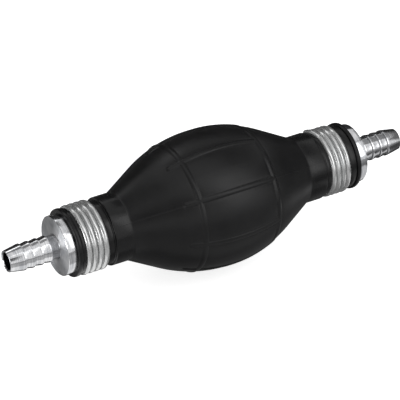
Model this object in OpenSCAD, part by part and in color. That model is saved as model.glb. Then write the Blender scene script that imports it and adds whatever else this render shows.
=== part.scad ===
// Siphon bulb pump: a ribbed rubber bulb between two aluminium hose tails, with a one-way valve
// in each neck. X is the pump's axis and the direction of flow, and the origin is its middle.

/* [Bulb] */
// Largest diameter of the belly
bulb_d = 50; // [45:0.5:60]
// Distance from the middle to where the belly meets the neck
belly_half = 35.7; // [29:0.1:42]
// Lengthwise radius of the belly, as a share of one arc from neck to neck
belly_fullness = 0.88; // [0.8:0.01:0.97]
// Thickness of the rubber
bulb_wall = 4; // [3:0.1:4.6]
// Thickness of the rubber in the necks
neck_wall = 4.35; // [3.6:0.05:6]
// Fillet between belly and neck
shoulder_fillet = 2; // [1:0.5:8]

/* [Ribs on the bulb] */
// Number of lengthwise ribs
rib_count = 9; // [6:1:12]
// Turn of the rib pattern about the axis, from +Y
rib_turn = 24.1; // [0:0.1:40]
// Place of the ring rib on the inlet side
ring_inlet_x = -13.6; // [-18:0.1:-8]
// Place of the ring rib on the outlet side
ring_outlet_x = 16.6; // [8:0.1:20]
// Length of the rib ends beyond the inlet ring
rib_stub = 4.6; // [1:0.1:6]
// Radius of the rib's round section
rib_r = 1.7; // [0.8:0.1:2]
// Height of the ribs above the belly
rib_h = 0.3; // [0.2:0.05:0.8]

/* [Neck] */
// Width of the plain neck, from belly to collar
neck_plain_w = 6.8; // [3:0.1:9]
// Width of the collar, the lower band beside the wire
collar_w = 2.4; // [1:0.1:4]
// How far the collar lies below the plain neck
collar_drop = 0.7; // [0.3:0.05:0.8]
// Width and depth of the fine groove between neck and collar
collar_groove = 0.3; // [0.2:0.05:0.6]
// Thickness of the rubber under the wire
wire_seat_wall = 2.65; // [1.6:0.05:3]
// Width of the lip at the end of the neck
lip_w = 1.7; // [1.2:0.1:4]
// Thickness of the rubber in the lip
lip_wall = 3.9; // [3.4:0.05:6]

/* [Wire clamps] */
// Diameter of the wire
wire_d = 1.55; // [1.2:0.05:2]
// Gap between neighbouring turns
wire_gap = 0.45; // [0.45:0.05:1]
// Number of turns
wire_turns = 3.5; // [2:0.25:5]
// Turn of each wire's first end about the axis, from +Y
wire_start = 55; // [0:5:360]

/* [Fittings] */
// Outer diameter of the spigot inside the neck
spigot_d = 16; // [15.4:0.1:18]
// How far the spigot reaches past the neck into the bulb
spigot_reach = 1.4; // [0.5:0.1:3]
// Diameter of the flange
flange_d = 21.6; // [18.6:0.1:24]
// Thickness of the flange
flange_t = 3.4; // [1.5:0.1:5]
// Diameter of the flow bore
bore_d = 6.2; // [5:0.1:6.6]
// Chamfer of the bore at the tip
mouth_chamfer = 0.4; // [0.1:0.05:0.45]
// Thickness of the gasket between lip and flange
gasket_t = 1.6; // [0.8:0.1:2.5]
// Outer diameter of the gasket
gasket_d = 24.8; // [21.5:0.1:28]

/* [Hose tails] */
// Largest diameter of the barbs, for a hose of 8 mm bore
barb_d = 9.6; // [8.8:0.1:12]
// Diameter behind each barb
barb_valley_d = 8.6; // [7.6:0.1:8.7]
// Wall of the tip round the bore
tip_wall = 0.8; // [0.5:0.05:1.2]
// Diameter of the plain root between barbs and flange
root_d = 8.6; // [7.6:0.1:9]
// Length of the plain root
root_len = 3.1; // [1:0.1:6]
// Number of barbs
barb_count = 4; // [3:1:6]
// Step from barb to barb
barb_pitch = 3.25; // [2:0.05:5]
// Length of the long first barb at the tip
barb_lead = 5.8; // [3:0.1:8]
// Width of the land on each barb's crest
barb_land = 0.5; // [0.2:0.05:0.8]

/* [Valves] */
// Flow gap between the poppet and the wall of its chamber
chamber_gap = 1; // [0.6:0.05:1.3]
// Lift of the poppets
poppet_lift = 1.6; // [1:0.1:1.8]
// Diameter of the poppet's disc
poppet_d = 9.6; // [8.6:0.1:9.8]
// Thickness of the poppet's disc
poppet_t = 1.4; // [1:0.1:1.8]
// Diameter of the guide stem
stem_d = 2.4; // [1.8:0.1:2.8]
// Thickness of the rubber washer on the poppet
seal_t = 1.2; // [0.8:0.1:1.6]
// Thickness of the seat insert
seat_t = 2.6; // [2:0.1:3.4]
// Thickness of the guide's spoked plate
guide_t = 1.4; // [1:0.1:2]
// Length of the spring with the valve closed
spring_len = 5.6; // [5.2:0.1:7]
// Diameter of the spring's wire
spring_wire_d = 0.5; // [0.4:0.05:0.55]
// How far the spring's coil lies inside the poppet's rim
spring_inset = 0.5; // [0.4:0.05:0.6]
// Number of coils
spring_coils = 3.5; // [3:0.5:3.5]
// Thickness of the snap ring
snap_t = 0.9; // [0.7:0.1:1.2]

/* [Hidden] */
$fn = 96;

// Clearances
fit_gap = 0.05;      // round faces that sit in or on one another
run_gap = 0.05;      // the stem in its guide, on the radius
stop_gap = 0.1;      // left between poppet and guide at full lift
ring_gap = 0.03;     // round the O-ring of the seat insert
wire_side_gap = 0.1; // between the winding and the shoulders of its seat

// Roundings of edges
neck_edge_r = 0.4;
edge_r = 0.3;
poppet_edge_r = 0.2;

// Belly: one arc in the middle and a straight cone on each side of it, out to the necks
bulb_r = bulb_d / 2;
spigot_r = spigot_d / 2;
neck_bore_r = spigot_r + fit_gap;
neck_r = neck_bore_r + neck_wall;
belly_rise = bulb_r - neck_r;
belly_arc_r = belly_fullness * (belly_half ^ 2 + belly_rise ^ 2) / (2 * belly_rise);
belly_arc_y = bulb_r - belly_arc_r;
neck_dx = belly_half;
neck_dy = neck_r - belly_arc_y;
cone_angle = atan2(neck_dx, neck_dy) - acos(belly_arc_r / norm([neck_dx, neck_dy]));
rib_arc_r = belly_arc_r - rib_r + rib_h;
rib_merge = 0.04;    // how much the ribs' section is smaller than their round ends and the rings

// Places along the axis, as distances from the middle
collar_a = belly_half + neck_plain_w;
wire_zone_a = collar_a + collar_w;
wire_pitch = wire_d + wire_gap;
wire_zone_w = wire_pitch * wire_turns + wire_d + 2 * wire_side_gap;
lip_a = wire_zone_a + wire_zone_w;
lip_end_a = lip_a + lip_w;
flange_a = lip_end_a + gasket_t;
root_a = flange_a + flange_t;
last_barb_a = root_a + root_len;
first_barb_a = last_barb_a + (barb_count - 1) * barb_pitch;
tip_a = first_barb_a + barb_lead;
spigot_a = belly_half - spigot_reach;

// Radii
collar_r = neck_r - collar_drop;
wire_seat_r = neck_bore_r + wire_seat_wall;
lip_r = neck_bore_r + lip_wall;
flange_r = flange_d / 2;
gasket_r = gasket_d / 2;
bore_r = bore_d / 2;
poppet_r = poppet_d / 2;
chamber_r = poppet_r + chamber_gap;

// Wire: each loop has 24 rings of 6 sides, and its corners clear the rubber it lies on
loop_rings = 24;
tube_sides = 6;
wire_r = wire_d / 2;
wire_coil_r = (wire_seat_r + fit_gap + wire_r) / cos(180 / loop_rings);

// Grip beads of the neck, in grooves round the spigot under the wire
grip_count = 3;
grip_pitch = 2.6;
grip_w = 1.4;
grip_h = 0.5;
grip_first_a = wire_zone_a + wire_zone_w / 2 - grip_pitch * (grip_count - 1) / 2;

// Valve stack, from the upstream face of the seat insert along the flow
seat_lip_h = 0.4;
seat_lip_w = 0.6;
seat_step = 0.2;     // how much wider the seat's bore is than the flow bore
seat_bore_r = bore_r + seat_step;
seat_lip_r = seat_bore_r + seat_lip_w;
poppet_step_h = 0.5;
spring_r = poppet_r - spring_inset;
spring_wire_r = spring_wire_d / 2;
poppet_step_gap = 0.15; // inside the spring's end coil
poppet_step_r = spring_r - spring_wire_r - poppet_step_gap;
seal_x = seat_t + seat_lip_h;
disc_x = seal_x + seal_t;
spring_x = disc_x + poppet_t;
guide_x = spring_x + spring_len;
stack_len = guide_x + guide_t;
insert_r = chamber_r - fit_gap;
stem_r = stem_d / 2;
stem_inset = 0.2;    // how far the stem ends inside the guide's plate
stem_end_x = stack_len - stem_inset;
hub_wall = 1;
hub_r = stem_r + hub_wall;
hub_len = spring_len - poppet_step_h - poppet_lift - stop_gap;
spring_land = 0.3;   // width of the plate inside the spring's end coil
window_r = [hub_r, spring_r - spring_wire_r - spring_land];
nose_r = 1.5;
nose_head_r = 2.1;
nose_head_t = 0.5;
seal_inset = 0.2;    // how far the washer lies inside the poppet's rim
seal_r = poppet_r - seal_inset;
snap_groove_depth = 0.6;
snap_outer_r = chamber_r + snap_groove_depth - fit_gap;
snap_shoulder = 0.8; // how far the snap ring stands into the chamber
snap_inner_r = chamber_r - snap_shoulder;
snap_opening = 60;
snap_inset = 1;      // from the spigot's end to the snap ring
snap_a = spigot_a + snap_inset;
snap_face_a = snap_a + snap_t;
chamber_end_a = snap_face_a + stack_len;
seat_ring_r = 0.48;
seat_ring_x = seat_t / 2;
seat_ring_coil_r = chamber_r - seat_ring_r - ring_gap;
seat_groove_r = seat_ring_coil_r - seat_ring_r - ring_gap;
seat_groove_w = 2 * (seat_ring_r + 2 * ring_gap);
spoke_count = 3;
spoke_w = 1.4;
spoke_root = 0.4;
inlet_stack_x = -chamber_end_a;
outlet_stack_x = snap_face_a;

// Colours
rubber_colour = [0.12, 0.12, 0.13];
soft_rubber_colour = [0.16, 0.16, 0.17];
aluminium_colour = [0.78, 0.79, 0.8];
zinc_colour = [0.68, 0.69, 0.7];
brass_colour = [0.76, 0.62, 0.34];
steel_colour = [0.6, 0.61, 0.63];

// ---------------------------------------------------------------- helpers

// Turns a section drawn as [radius, place along the axis] about the X axis
module turned() {
    rotate([0, 90, 0]) rotate_extrude() children();
}

// Puts a part that is drawn for the outlet end at the inlet end as well
module at_inlet() {
    mirror([1, 0, 0]) children();
}

// A rectangle of a section, from radius r0 to r1 and from place a0 to a1
module band(r0, r1, a0, a1) {
    translate([r0, a0]) square([r1 - r0, a1 - a0]);
}

// A band whose outer corners are rounded with radius c
module soft_band(r0, r1, a0, a1, c) {
    band(r0, r1 - c, a0, a1);
    band(r0, r1, a0 + c, a1 - c);
    for (a = [a0 + c, a1 - c]) translate([r1 - c, a]) circle(c, $fn = 32);
}

// A band from the axis to radius r1 whose outer corner at a1 is rounded with radius c
module soft_end_band(r1, a0, a1, c) {
    band(0, r1, a0, a1 - c);
    band(0, r1 - c, a0, a1);
    translate([r1 - c, a1 - c]) circle(c, $fn = 32);
}

// Six-sided tube along frames of [centre, first normal, second normal]
module wound_tube(frames, r) {
    n = len(frames);
    points = [
        for (f = frames, k = [0 : tube_sides - 1])
            let (t = 360 * k / tube_sides)
            f[0] + r * (cos(t) * f[1] + sin(t) * f[2])
    ];
    sides = [
        for (i = [0 : n - 2], k = [0 : tube_sides - 1])
            let (a = i * tube_sides + k, b = i * tube_sides + (k + 1) % tube_sides)
            each [[a, b + tube_sides, b], [a, a + tube_sides, b + tube_sides]]
    ];
    last = (n - 1) * tube_sides;
    caps = [
        for (k = [1 : tube_sides - 2])
            each [[0, k, k + 1], [last, last + k + 1, last + k]]
    ];
    polyhedron(points, concat(sides, caps));
}

// Frames along a helix about X, from place x0
function helix_frames(x0, r, pitch, turns, rings, start) = [
    for (i = [0 : turns * rings])
        let (t = start + 360 * i / rings)
            helix_frame(x0 + pitch * i / rings, r, pitch, t)
];

// One frame of the helix: its centre, the outward normal and the normal across it
function helix_frame(x, r, pitch, t) = frame_along(
    [x, r * cos(t), r * sin(t)], helix_heading(r, pitch, t), [0, cos(t), sin(t)]
);

function helix_heading(r, pitch, t) =
    let (v = [pitch / (2 * PI), -r * sin(t), r * cos(t)]) v / norm(v);

// Last item: the heading of the wire, which the tails carry on from
function frame_along(centre, heading, outward) =
    [centre, outward, cross(heading, outward), heading];

// A frame moved straight along its own heading
function moved_on(f, distance) = frame_along(f[0] + distance * f[3], f[3], f[1]);

// Frames that turn from the heading of f to +X on a bend of radius r, then run straight to
// place end_x. side is 1 after the end of a coil and -1 before its start.
function axial_tail(f, r, end_x, side) =
    let (foot = f[0] + side * r * (f[3] + [1, 0, 0])) [
        for (turn = [30, 60, 90])
            let (
                heading = cos(turn) * f[3] + sin(turn) * [1, 0, 0],
                shift = sin(turn) * f[3] + (1 - cos(turn)) * [1, 0, 0]
            )
                frame_along(f[0] + side * r * shift, heading, f[1]),
        frame_along([end_x, foot[1], foot[2]], [1, 0, 0], f[1])
    ];

function reversed(list) = [for (i = [len(list) - 1 : -1 : 0]) list[i]];

// Least gap between stretches of a tube that lie at least half a loop apart
function least_gap(frames, half_loop, d) = min([
    for (i = [0 : len(frames) - half_loop - 1], j = [i + half_loop : len(frames) - 1])
        norm(frames[i][0] - frames[j][0])
]) - d;

// ---------------------------------------------------------------- bulb

// Half section of the belly out to radius end_r, with its lengthwise arc of radius arc_r
module belly_form(arc_r, end_r) {
    arc_a = arc_r * sin(cone_angle);
    cone_r = belly_arc_y + arc_r * cos(cone_angle);
    end_a = arc_a + (cone_r - end_r) / tan(cone_angle);
    intersection() {
        translate([belly_arc_y, 0]) circle(arc_r);
        band(0, bulb_r, -arc_a, arc_a);
    }
    for (s = [-1, 1])
        polygon([[0, 0], [cone_r, s * arc_a], [end_r, s * end_a], [0, s * end_a]]);
}

// Concave fillet between the belly's cone and the outlet neck
module shoulder_fillet_form() {
    f = shoulder_fillet;
    centre = [neck_r + f, belly_half + f * tan(cone_angle / 2)];
    difference() {
        polygon([
            [neck_r, belly_half], [neck_r, centre[1]], centre,
            centre - f * [cos(cone_angle), sin(cone_angle)]
        ]);
        translate(centre) circle(f);
    }
}

// Outside of one neck, from the belly to the end of the lip
module neck_form() {
    shoulder_fillet_form();
    soft_end_band(neck_r, belly_half, collar_a, neck_edge_r);
    band(0, collar_r - collar_groove, belly_half, collar_a + collar_groove);
    soft_end_band(collar_r, collar_a + collar_groove, wire_zone_a, edge_r);
    band(0, wire_seat_r, belly_half, lip_a);
    soft_band(0, lip_r, lip_a, lip_end_a, edge_r);
}

// Inside of one neck: a bore with beads that sit in the spigot's grooves
module neck_bore_form() {
    difference() {
        band(0, neck_bore_r, 0, lip_end_a + 1);
        for (k = [0 : grip_count - 1])
            band(
                spigot_r - grip_h + fit_gap, neck_bore_r,
                grip_first_a + k * grip_pitch - grip_w / 2 + fit_gap,
                grip_first_a + k * grip_pitch + grip_w / 2 - fit_gap
            );
    }
}

module both_ends() {
    children();
    mirror([0, 1]) children();
}

module bulb_shell() {
    turned() difference() {
        union() {
            belly_form(belly_arc_r, neck_r);
            both_ends() neck_form();
            for (x = [ring_inlet_x, ring_outlet_x]) ring_rib_form(x);
        }
        belly_form(belly_arc_r - bulb_wall, neck_bore_r);
        both_ends() neck_bore_form();
    }
}

module ring_rib_form(x) {
    b = asin(x / belly_arc_r);
    translate([belly_arc_y + rib_arc_r * cos(b), rib_arc_r * sin(b)]) circle(rib_r, $fn = 32);
}

// One lengthwise rib on the +Y side: a bead along the belly's arc, from a round end to the
// middle of the outlet ring
module lengthwise_rib() {
    b0 = asin((ring_inlet_x - rib_stub) / belly_arc_r);
    b1 = asin(ring_outlet_x / belly_arc_r);
    translate([0, belly_arc_y, 0]) {
        rotate([0, 0, 90 - b1]) rotate_extrude(angle = b1 - b0)
            translate([rib_arc_r, 0]) circle(rib_r - rib_merge, $fn = 32);
        rotate([0, 0, 90 - b0]) translate([rib_arc_r, 0, 0]) sphere(rib_r, $fn = 32);
    }
}

module bulb() {
    color(rubber_colour) {
        bulb_shell();
        for (k = [0 : rib_count - 1])
            rotate([rib_turn + 360 * k / rib_count, 0, 0]) lengthwise_rib();
    }
}

// ---------------------------------------------------------------- fittings and clamps

// Hose barbs: the first is long and tapers to the tip, and all have the same crest
module barbs_form() {
    for (k = [0 : barb_count - 1]) {
        back_a = first_barb_a - k * barb_pitch;
        front = k == 0 ? [bore_r + tip_wall, tip_a] : [barb_valley_d / 2, back_a + barb_pitch];
        polygon([
            [0, back_a], [barb_d / 2, back_a], [barb_d / 2, back_a + barb_land],
            front, [0, front[1]]
        ]);
    }
}

module fitting() {
    color(aluminium_colour) turned() difference() {
        union() {
            barbs_form();
            band(0, root_d / 2, root_a, last_barb_a);
            soft_band(0, flange_r, flange_a, root_a, edge_r);
            band(0, spigot_r, spigot_a, flange_a);
        }
        band(0, bore_r, 0, tip_a + 1);
        translate([bore_r, tip_a])
            polygon([[-1, 1], [-1, -1 - mouth_chamfer], [mouth_chamfer + 1, 1]]);
        band(0, chamber_r, 0, chamber_end_a);
        band(0, chamber_r + snap_groove_depth, snap_a - fit_gap, snap_face_a + fit_gap);
        for (k = [0 : grip_count - 1])
            translate([0, grip_first_a + k * grip_pitch])
                band(spigot_r - grip_h, spigot_r + 1, -grip_w / 2, grip_w / 2);
    }
}

module inlet_fitting() {
    at_inlet() fitting();
}

module outlet_fitting() {
    fitting();
}

module gasket() {
    color(soft_rubber_colour) turned() difference() {
        soft_band(0, gasket_r, lip_end_a, flange_a, edge_r);
        band(0, spigot_r + fit_gap, 0, flange_a + 1);
    }
}

module inlet_gasket() {
    at_inlet() gasket();
}

module outlet_gasket() {
    gasket();
}

// Wire wound round the neck about the middle place x, its ends straight for one diameter
module wire_clamp(x) {
    x0 = x - wire_pitch * wire_turns / 2;
    coil = helix_frames(x0, wire_coil_r, wire_pitch, wire_turns, loop_rings, wire_start);
    frames = concat(
        [moved_on(coil[0], -wire_d)], coil, [moved_on(coil[len(coil) - 1], wire_d)]
    );
    echo(str("wire clamp, least gap to itself in mm: ", least_gap(coil, loop_rings / 2, wire_d)));
    color(zinc_colour) wound_tube(frames, wire_r);
}

module inlet_wire_clamp() {
    wire_clamp(-(wire_zone_a + wire_zone_w / 2));
}

module outlet_wire_clamp() {
    wire_clamp(wire_zone_a + wire_zone_w / 2);
}

// ---------------------------------------------------------------- valves

// Seat insert: a bored plug with a raised seat ring downstream and a groove for its O-ring
module valve_seat() {
    color(brass_colour) turned() difference() {
        union() {
            band(seat_bore_r, insert_r, 0, seat_t);
            band(seat_bore_r, seat_lip_r, 0, seal_x);
        }
        band(seat_groove_r, insert_r + 1, seat_ring_x - seat_groove_w / 2,
            seat_ring_x + seat_groove_w / 2);
    }
}

module seat_seal() {
    color(soft_rubber_colour) turned()
        translate([seat_ring_coil_r, seat_ring_x]) circle(seat_ring_r, $fn = 32);
}

// Poppet: peened nose, disc, step that centres the spring, and guide stem
module poppet() {
    color(brass_colour) turned() {
        band(0, nose_head_r, seal_x - nose_head_t, seal_x);
        band(0, nose_r, seal_x, disc_x);
        soft_band(0, poppet_r, disc_x, spring_x, poppet_edge_r);
        band(0, poppet_step_r, spring_x, spring_x + poppet_step_h);
        band(0, stem_r, spring_x, stem_end_x);
    }
}

module poppet_seal() {
    color(soft_rubber_colour) turned() band(nose_r + fit_gap, seal_r, seal_x, disc_x);
}

// Return spring: one wire whose ends turn along the axis and stand square on their seats
module valve_spring() {
    tail = 2 * spring_wire_d;
    pitch = (spring_len - 2 * tail) / spring_coils;
    coil = helix_frames(spring_x + tail, spring_r, pitch, spring_coils, 8, 0);
    frames = concat(
        reversed(axial_tail(coil[0], spring_wire_d, spring_x, -1)), coil,
        axial_tail(coil[len(coil) - 1], spring_wire_d, guide_x, 1)
    );
    echo(str("valve spring, least gap to itself in mm: ", least_gap(frames, 7, spring_wire_d)));
    color(steel_colour) wound_tube(frames, spring_wire_r);
}

// Guide: a spoked plate with a hub that the stem slides in, and that stops the poppet
module valve_guide() {
    color(brass_colour) {
        turned() {
            band(stem_r + run_gap, hub_r, guide_x - hub_len, stack_len);
            band(window_r[1], insert_r, guide_x, stack_len);
        }
        for (k = [0 : spoke_count - 1])
            rotate([360 * k / spoke_count, 0, 0])
                translate([guide_x, -spoke_w / 2, hub_r - spoke_root])
                    cube([guide_t, spoke_w, window_r[1] - hub_r + 2 * spoke_root]);
    }
}

// Snap ring: open ring in the groove at the chamber's mouth
module snap_ring() {
    color(steel_colour) rotate([0, 90, 0]) rotate_extrude(angle = 360 - snap_opening)
        band(snap_inner_r, snap_outer_r, snap_a, snap_face_a);
}

module inlet_valve_seat() {
    translate([inlet_stack_x, 0, 0]) valve_seat();
}

module inlet_seat_seal() {
    translate([inlet_stack_x, 0, 0]) seat_seal();
}

module inlet_poppet() {
    translate([inlet_stack_x, 0, 0]) poppet();
}

module inlet_poppet_seal() {
    translate([inlet_stack_x, 0, 0]) poppet_seal();
}

module inlet_valve_spring() {
    translate([inlet_stack_x, 0, 0]) valve_spring();
}

module inlet_valve_guide() {
    translate([inlet_stack_x, 0, 0]) valve_guide();
}

module inlet_snap_ring() {
    at_inlet() snap_ring();
}

module outlet_valve_seat() {
    translate([outlet_stack_x, 0, 0]) valve_seat();
}

module outlet_seat_seal() {
    translate([outlet_stack_x, 0, 0]) seat_seal();
}

module outlet_poppet() {
    translate([outlet_stack_x, 0, 0]) poppet();
}

module outlet_poppet_seal() {
    translate([outlet_stack_x, 0, 0]) poppet_seal();
}

module outlet_valve_spring() {
    translate([outlet_stack_x, 0, 0]) valve_spring();
}

module outlet_valve_guide() {
    translate([outlet_stack_x, 0, 0]) valve_guide();
}

module outlet_snap_ring() {
    snap_ring();
}

// ---------------------------------------------------------------- assembly

bulb();
inlet_fitting();
outlet_fitting();
inlet_gasket();
outlet_gasket();
inlet_wire_clamp();
outlet_wire_clamp();
inlet_valve_seat();
inlet_seat_seal();
inlet_poppet();
inlet_poppet_seal();
inlet_valve_spring();
inlet_valve_guide();
inlet_snap_ring();
outlet_valve_seat();
outlet_seat_seal();
outlet_poppet();
outlet_poppet_seal();
outlet_valve_spring();
outlet_valve_guide();
outlet_snap_ring();
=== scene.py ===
"""Siphon bulb pump: the finished looks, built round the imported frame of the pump.

X is the pump's axis and the direction of flow, Z is up, and lengths are in metres. A place
on one end of the pump is its distance from the middle, and the end's side gives the sign.
An angle round the axis is in degrees from +Y towards +Z.
"""

from __future__ import annotations

import logging
import math
from collections.abc import Callable
from dataclasses import dataclass, replace
from enum import Enum

import bpy
from mathutils import Matrix, Vector

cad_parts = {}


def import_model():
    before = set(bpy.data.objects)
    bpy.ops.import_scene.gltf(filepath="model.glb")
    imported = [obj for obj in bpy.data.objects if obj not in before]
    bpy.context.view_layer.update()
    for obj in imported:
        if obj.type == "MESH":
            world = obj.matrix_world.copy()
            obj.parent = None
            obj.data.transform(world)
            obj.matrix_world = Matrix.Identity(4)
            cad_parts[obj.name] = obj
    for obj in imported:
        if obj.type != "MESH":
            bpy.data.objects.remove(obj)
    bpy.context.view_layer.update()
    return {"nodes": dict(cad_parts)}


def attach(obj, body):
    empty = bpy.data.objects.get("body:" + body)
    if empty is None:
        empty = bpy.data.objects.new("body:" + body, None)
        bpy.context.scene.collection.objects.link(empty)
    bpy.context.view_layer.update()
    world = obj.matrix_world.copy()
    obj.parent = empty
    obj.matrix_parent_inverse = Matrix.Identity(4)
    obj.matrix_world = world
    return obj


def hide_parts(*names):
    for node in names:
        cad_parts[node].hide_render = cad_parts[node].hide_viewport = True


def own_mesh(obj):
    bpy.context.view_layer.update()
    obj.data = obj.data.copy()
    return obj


Piece = bpy.types.Object
Socket = bpy.types.NodeSocket
Colour = tuple[float, float, float]
Place = tuple[float, float, float]
Span = tuple[float, float]

LOG = logging.getLogger("siphon_bulb_pump")
MM = 0.001
ORIGIN = (0.0, 0.0, 0.0)
FLOW = (1.0, 0.0, 0.0)
WHITE = (1.0, 1.0, 1.0, 1.0)
MERGE_GAP = 0.002 * MM
FINE_EDGE = 0.08 * MM


class End(Enum):
    """The two ends of the pump, with the sign of their X."""

    INLET = -1
    OUTLET = 1

    @property
    def label(self) -> str:
        """The end's name as the nodes are called."""
        return self.name.lower()

    def node(self, part: str) -> str:
        """The frame's node of a part at this end."""
        return f"{self.label}_{part}"

    def place(self, distance: float) -> float:
        """The X of a distance from the middle on this end."""
        return self.value * distance


class Body(Enum):
    """The frame's rigid bodies."""

    ROOT = "root"
    INLET_VALVE = "inlet_valve"
    OUTLET_VALVE = "outlet_valve"

    @staticmethod
    def valve(end: End) -> "Body":
        """The body of the valve at an end."""
        return Body.INLET_VALVE if end is End.INLET else Body.OUTLET_VALVE


# ------------------------------------------------------------------------ modelling


@dataclass(frozen=True)
class Corner:
    """A corner of a turned section.

    Attributes:
        place: Distance along the axis.
        radius: Distance from the axis.
        fillet: Radius of the rounding at the corner.
    """

    place: float
    radius: float
    fillet: float = 0.0

    @property
    def point(self) -> Vector:
        """The corner in the plane of the section."""
        return Vector((self.place, self.radius))


@dataclass(frozen=True)
class Sweep:
    """One stretch of a spin: its angle in degrees and its number of steps."""

    degrees: float
    steps: int


class Bench:
    """Modelling moves made with Blender's operators, one piece at a time."""

    @staticmethod
    def clear() -> None:
        """Deselect everything."""
        bpy.ops.object.select_all(action="DESELECT")

    @staticmethod
    def pick(piece: Piece) -> None:
        """Select one piece and make it active.

        Args:
            piece: The piece that the next operator works on.
        """
        Bench.clear()
        piece.select_set(True)
        bpy.context.view_layer.objects.active = piece

    @staticmethod
    def rename(piece: Piece, name: str) -> Piece:
        """Give a piece and its mesh one name.

        Args:
            piece: The piece.
            name: Its new name.

        Returns:
            The piece.
        """
        piece.name = name
        piece.data.name = name
        return piece

    @staticmethod
    def apply(piece: Piece, modifier: bpy.types.Modifier) -> None:
        """Apply a modifier of a piece."""
        Bench.pick(piece)
        bpy.ops.object.modifier_apply(modifier=modifier.name)

    @staticmethod
    def smooth(piece: Piece, degrees: float) -> None:
        """Shade a piece smooth, apart from edges sharper than an angle."""
        Bench.pick(piece)
        bpy.ops.object.shade_smooth_by_angle(angle=math.radians(degrees))

    @staticmethod
    def close_up(piece: Piece) -> None:
        """Merge a piece's doubled vertices and turn its faces outwards.

        Args:
            piece: A closed piece.
        """
        Bench.pick(piece)
        bpy.ops.object.mode_set(mode="EDIT")
        bpy.ops.mesh.select_all(action="SELECT")
        bpy.ops.mesh.remove_doubles(threshold=MERGE_GAP)
        bpy.ops.mesh.normals_make_consistent(inside=False)
        bpy.ops.object.mode_set(mode="OBJECT")

    @staticmethod
    def cap_ends(piece: Piece, chamfer: float) -> None:
        """Close a tube's two open ends with chamfered caps.

        Args:
            piece: A tube with two open ends.
            chamfer: Width of the chamfer round each cap; its height is a little less.
        """
        height = 0.7 * chamfer
        Bench.pick(piece)
        bpy.ops.object.mode_set(mode="EDIT")
        bpy.ops.mesh.select_mode(type="EDGE")
        bpy.ops.mesh.select_all(action="DESELECT")
        bpy.ops.mesh.select_non_manifold()
        bpy.ops.mesh.fill_holes(sides=0)
        bpy.ops.mesh.select_all(action="SELECT")
        bpy.ops.mesh.normals_make_consistent(inside=False)
        bpy.ops.mesh.select_mode(type="FACE")
        bpy.ops.mesh.select_all(action="DESELECT")
        bpy.ops.mesh.select_face_by_sides(number=4, type="GREATER")
        bpy.ops.mesh.inset(thickness=chamfer, depth=height, use_individual=True)
        bpy.ops.object.mode_set(mode="OBJECT")


def filleted(corners: list[Corner], steps: int = 3) -> list[Vector]:
    """Round the corners of a closed section, with less than half of each side taken up.

    Args:
        corners: The section's corners in order; the last joins the first.
        steps: Number of edges in each rounding.

    Returns:
        The points of the section, with arcs where corners have a fillet.
    """
    points: list[Vector] = []
    most_of_side = 0.45
    count = len(corners)
    for i, corner in enumerate(corners):
        here = corner.point
        before = corners[i - 1].point - here
        after = corners[(i + 1) % count].point - here
        if corner.fillet <= 0 or before.length < MERGE_GAP or after.length < MERGE_GAP:
            points.append(here)
            continue
        half = before.angle(after) / 2
        reach = corner.fillet / math.tan(half)
        reach = min(reach, before.length * most_of_side, after.length * most_of_side)
        radius = reach * math.tan(half)
        start = here + before.normalized() * reach
        inwards = (before.normalized() + after.normalized()).normalized()
        middle = here + inwards * (radius / math.sin(half))
        finish = here + after.normalized() * reach
        first, last = start - middle, finish - middle
        turn = first.angle_signed(last)
        for k in range(steps + 1):
            arm = first.copy()
            arm.rotate(Matrix.Rotation(-turn * k / steps, 2))
            points.append(middle + arm)
    return points


def spun(name: str, section: list[Vector], sweeps: list[Sweep], start: float = 0.0) -> Piece:
    """Draw a closed section by extruding a vertex, and spin it round the flow axis.

    Args:
        name: Name of the piece.
        section: Points of place and radius; the last joins the first.
        sweeps: The stretches of the full turn.
        start: Angle at which the spin starts.

    Returns:
        The closed, turned piece.
    """
    across = Vector((0, math.cos(math.radians(start)), math.sin(math.radians(start))))
    points = [Vector((p.x, 0, 0)) + across * p.y for p in [*section, section[0]]]
    Bench.clear()
    bpy.ops.mesh.primitive_plane_add(size=MM)
    piece = Bench.rename(bpy.context.object, name)
    bpy.ops.object.mode_set(mode="EDIT")
    bpy.ops.mesh.select_mode(type="VERT")
    bpy.ops.mesh.select_all(action="SELECT")
    bpy.ops.mesh.merge(type="CENTER")
    bpy.ops.transform.translate(value=points[0])
    for here, there in zip(points, points[1:]):
        bpy.ops.mesh.extrude_region_move(TRANSFORM_OT_translate={"value": there - here})
    bpy.ops.mesh.select_all(action="SELECT")
    for sweep in sweeps:
        bpy.ops.mesh.spin(
            steps=sweep.steps,
            angle=math.radians(sweep.degrees),
            center=ORIGIN,
            axis=FLOW,
        )
    bpy.ops.object.mode_set(mode="OBJECT")
    Bench.close_up(piece)
    return piece


def turned(name: str, corners: list[Corner], steps: int, crease: float) -> Piece:
    """Turn a round piece on the lathe from its corners, and shade it.

    Args:
        name: Name of the piece.
        corners: The corners of its closed section, in order.
        steps: Number of steps of the full turn.
        crease: Angle in degrees above which an edge stays sharp.

    Returns:
        The closed, turned piece.
    """
    piece = spun(name, filleted(corners), [Sweep(360, steps)])
    Bench.smooth(piece, crease)
    return piece


def held(value: float) -> float:
    """A value held between 0 and 1."""
    return min(max(value, 0.0), 1.0)


def smooth_step(value: float) -> float:
    """0 below 0, 1 above 1, and a smooth rise between them."""
    t = held(value)
    return t * t * (3 - 2 * t)


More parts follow.
